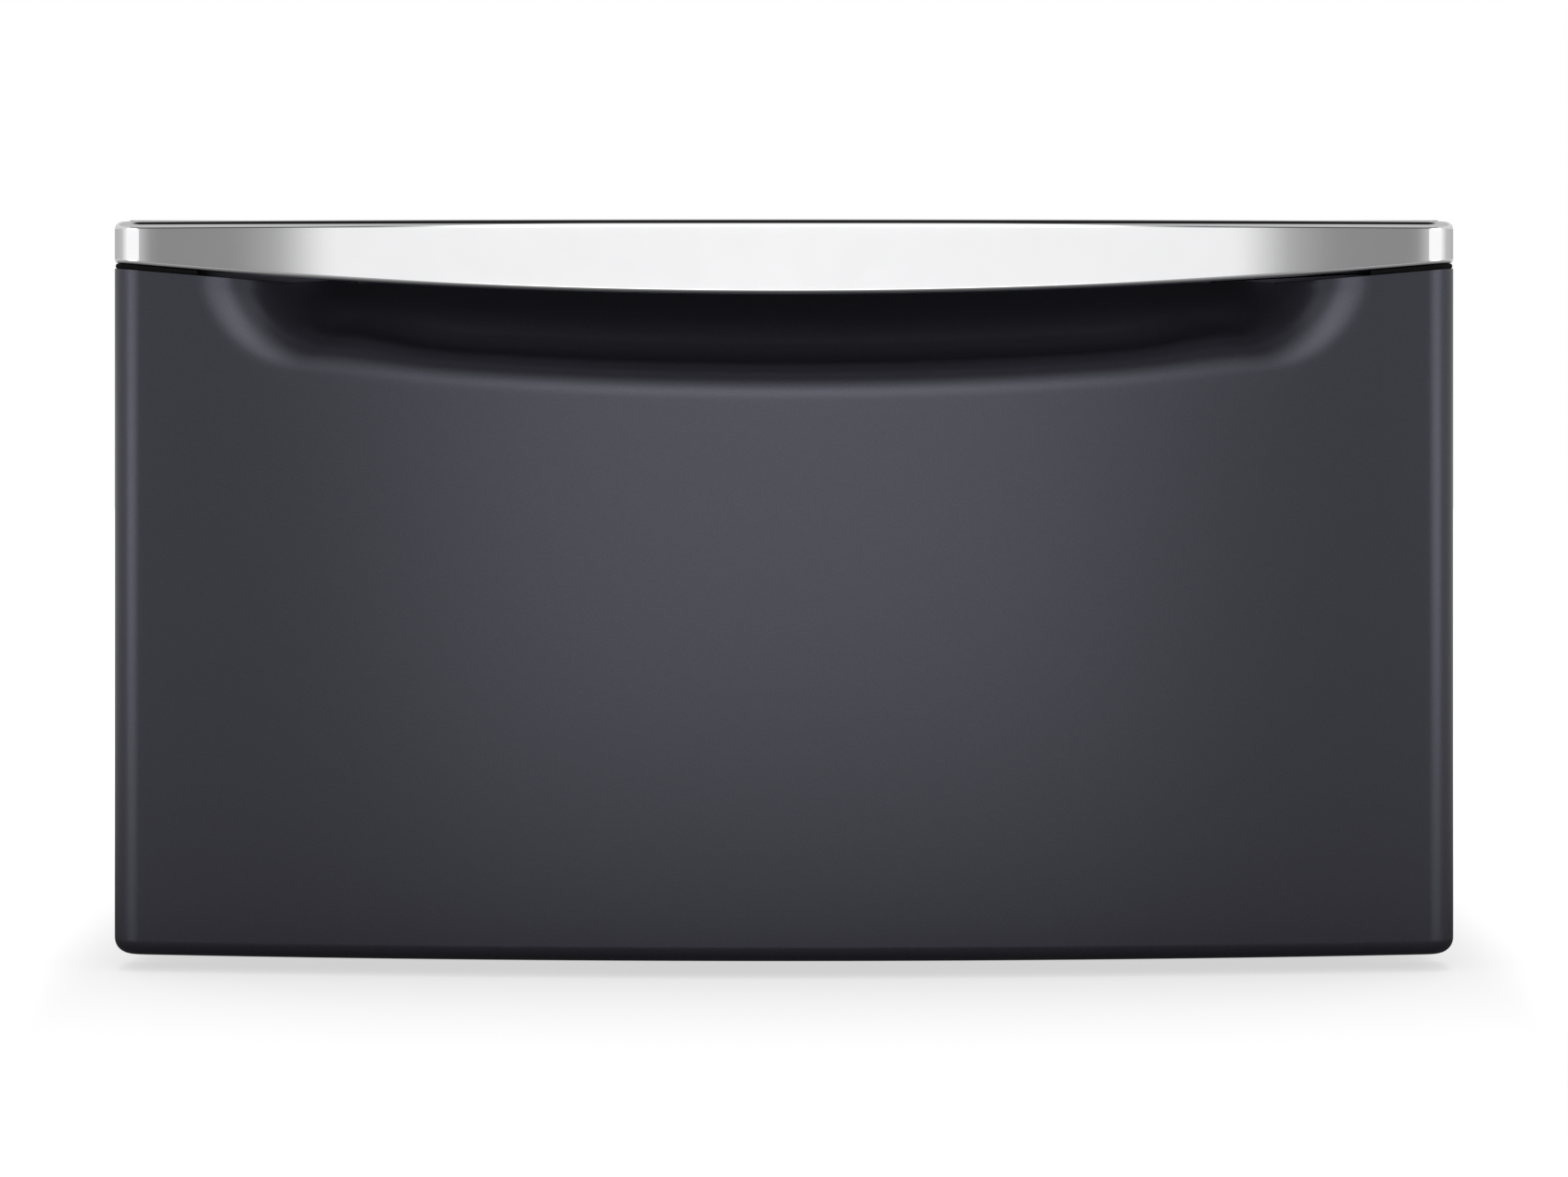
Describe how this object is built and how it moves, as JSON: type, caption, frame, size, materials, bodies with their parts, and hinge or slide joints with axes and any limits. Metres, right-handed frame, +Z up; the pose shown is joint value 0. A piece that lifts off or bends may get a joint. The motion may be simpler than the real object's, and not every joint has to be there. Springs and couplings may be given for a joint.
{
  "type": "laundry pedestal",
  "caption": "Laundry pedestal with a bowed storage drawer, a chrome visor handle over a finger pocket, ball slides and levelling feet; carries a front load washer or dryer.",
  "frame": {"origin": "on the floor under the middle of the pedestal's bounding box", "axes": "+Z up, the drawer front faces -Y, +X to the right seen from the front"},
  "size_m": [0.686, 0.686, 0.3845],
  "materials": {
    "front_paint": "charcoal metallic paint, satin gloss with a fine flake",
    "cabinet_paint": "charcoal paint, satin with a light orange peel",
    "bright_chrome": "polished chrome plate",
    "galvanised_sheet": "galvanised steel with a faint spangle",
    "slide_steel": "bright zinc plated, drawn lengthwise",
    "cage_plastic": "moulded black",
    "ball_steel": "polished",
    "zinc_fastener": "zinc plated",
    "foot_rubber": "matt black rubber"
  },
  "bodies": {
    "cabinet": {"side_panel_left": "cabinet_paint", "side_panel_right": "cabinet_paint", "rear_panel": "galvanised_sheet", "top_deck": "cabinet_paint", "deck_brace_left": "galvanised_sheet", "deck_brace_right": "galvanised_sheet", "front_cross_rail": "galvanised_sheet", "base_rail_front": "galvanised_sheet", "base_rail_rear": "galvanised_sheet", "slide_bracket_left": "galvanised_sheet", "slide_bracket_right": "galvanised_sheet", "slide_outer_left": "slide_steel", "slide_outer_right": "slide_steel", "foot_weld_nuts": "zinc_fastener", "foot_lock_nuts": "zinc_fastener", "drawer_bumpers": "foot_rubber", "rear_panel_screws": "zinc_fastener", "base_screws": "zinc_fastener", "cross_rail_screws": "zinc_fastener", "slide_outer_screws": "zinc_fastener"},
    "drawer": {"drawer_front": "front_paint", "drawer_inner_front": "galvanised_sheet", "drawer_handle": "bright_chrome", "drawer_floor": "galvanised_sheet", "drawer_side_left": "galvanised_sheet", "drawer_side_right": "galvanised_sheet", "drawer_back": "galvanised_sheet", "slide_inner_left": "slide_steel", "slide_inner_right": "slide_steel", "handle_screws": "zinc_fastener", "drawer_front_screws": "zinc_fastener", "drawer_box_screws": "zinc_fastener", "drawer_rivets": "zinc_fastener", "slide_inner_screws": "zinc_fastener"},
    "slide_middle_left": {"slide_middle_left": "slide_steel"},
    "ball_cage_outer_left": {"ball_cage_outer_left": "cage_plastic", "slide_balls_outer_left": "ball_steel"},
    "ball_cage_inner_left": {"ball_cage_inner_left": "cage_plastic", "slide_balls_inner_left": "ball_steel"},
    "slide_middle_right": {"slide_middle_right": "slide_steel"},
    "ball_cage_outer_right": {"ball_cage_outer_right": "cage_plastic", "slide_balls_outer_right": "ball_steel"},
    "ball_cage_inner_right": {"ball_cage_inner_right": "cage_plastic", "slide_balls_inner_right": "ball_steel"},
    "foot_pad_front_left": {"foot_pad_front_left": "foot_rubber"},
    "foot_stem_front_left": {"foot_stem_front_left": "zinc_fastener"},
    "foot_pad_front_right": {"foot_pad_front_right": "foot_rubber"},
    "foot_stem_front_right": {"foot_stem_front_right": "zinc_fastener"},
    "foot_pad_rear_left": {"foot_pad_rear_left": "foot_rubber"},
    "foot_stem_rear_left": {"foot_stem_rear_left": "zinc_fastener"},
    "foot_pad_rear_right": {"foot_pad_rear_right": "foot_rubber"},
    "foot_stem_rear_right": {"foot_stem_rear_right": "zinc_fastener"}
  },
  "joints": [
    {"name": "drawer_slide", "type": "slide", "parent": "cabinet", "child": "drawer", "axis": [0, -1, 0], "range_m": [0, 0.45]},
    {"name": "slide_middle_run_left", "type": "slide", "parent": "cabinet", "child": "slide_middle_left", "axis": [0, -1, 0], "range_m": [0, 0.225]},
    {"name": "ball_cage_run_outer_left", "type": "slide", "parent": "cabinet", "child": "ball_cage_outer_left", "axis": [0, -1, 0], "range_m": [0, 0.1125]},
    {"name": "ball_cage_run_inner_left", "type": "slide", "parent": "cabinet", "child": "ball_cage_inner_left", "axis": [0, -1, 0], "range_m": [0, 0.3375]},
    {"name": "slide_middle_run_right", "type": "slide", "parent": "cabinet", "child": "slide_middle_right", "axis": [0, -1, 0], "range_m": [0, 0.225]},
    {"name": "ball_cage_run_outer_right", "type": "slide", "parent": "cabinet", "child": "ball_cage_outer_right", "axis": [0, -1, 0], "range_m": [0, 0.1125]},
    {"name": "ball_cage_run_inner_right", "type": "slide", "parent": "cabinet", "child": "ball_cage_inner_right", "axis": [0, -1, 0], "range_m": [0, 0.3375]},
    {"name": "foot_travel_front_left", "type": "slide", "parent": "cabinet", "child": "foot_pad_front_left", "axis": [0, 0, -1], "range_m": [0, 0.02]},
    {"name": "foot_turn_front_left", "type": "hinge", "parent": "foot_pad_front_left", "child": "foot_stem_front_left", "pos_m": [-0.3004, -0.2095, 0], "axis": [0, 0, -1], "range_deg": [0, 4800]},
    {"name": "foot_travel_front_right", "type": "slide", "parent": "cabinet", "child": "foot_pad_front_right", "axis": [0, 0, -1], "range_m": [0, 0.02]},
    {"name": "foot_turn_front_right", "type": "hinge", "parent": "foot_pad_front_right", "child": "foot_stem_front_right", "pos_m": [0.3004, -0.2095, 0], "axis": [0, 0, -1], "range_deg": [0, 4800]},
    {"name": "foot_travel_rear_left", "type": "slide", "parent": "cabinet", "child": "foot_pad_rear_left", "axis": [0, 0, -1], "range_m": [0, 0.02]},
    {"name": "foot_turn_rear_left", "type": "hinge", "parent": "foot_pad_rear_left", "child": "foot_stem_rear_left", "pos_m": [-0.3004, 0.3093, 0], "axis": [0, 0, -1], "range_deg": [0, 4800]},
    {"name": "foot_travel_rear_right", "type": "slide", "parent": "cabinet", "child": "foot_pad_rear_right", "axis": [0, 0, -1], "range_m": [0, 0.02]},
    {"name": "foot_turn_rear_right", "type": "hinge", "parent": "foot_pad_rear_right", "child": "foot_stem_rear_right", "pos_m": [0.3004, 0.3093, 0], "axis": [0, 0, -1], "range_deg": [0, 4800]}
  ],
  "couplings": [
    {"joint": "slide_middle_run_left", "follows": "drawer_slide", "ratio": 0.5},
    {"joint": "ball_cage_run_outer_left", "follows": "drawer_slide", "ratio": 0.25},
    {"joint": "ball_cage_run_inner_left", "follows": "drawer_slide", "ratio": 0.75},
    {"joint": "slide_middle_run_right", "follows": "drawer_slide", "ratio": 0.5},
    {"joint": "ball_cage_run_outer_right", "follows": "drawer_slide", "ratio": 0.25},
    {"joint": "ball_cage_run_inner_right", "follows": "drawer_slide", "ratio": 0.75},
    {"joint": "foot_turn_front_left", "follows": "foot_travel_front_left", "rad_per_m": 4188.8},
    {"joint": "foot_turn_front_right", "follows": "foot_travel_front_right", "rad_per_m": 4188.8},
    {"joint": "foot_turn_rear_left", "follows": "foot_travel_rear_left", "rad_per_m": 4188.8},
    {"joint": "foot_turn_rear_right", "follows": "foot_travel_rear_right", "rad_per_m": 4188.8}
  ]
}
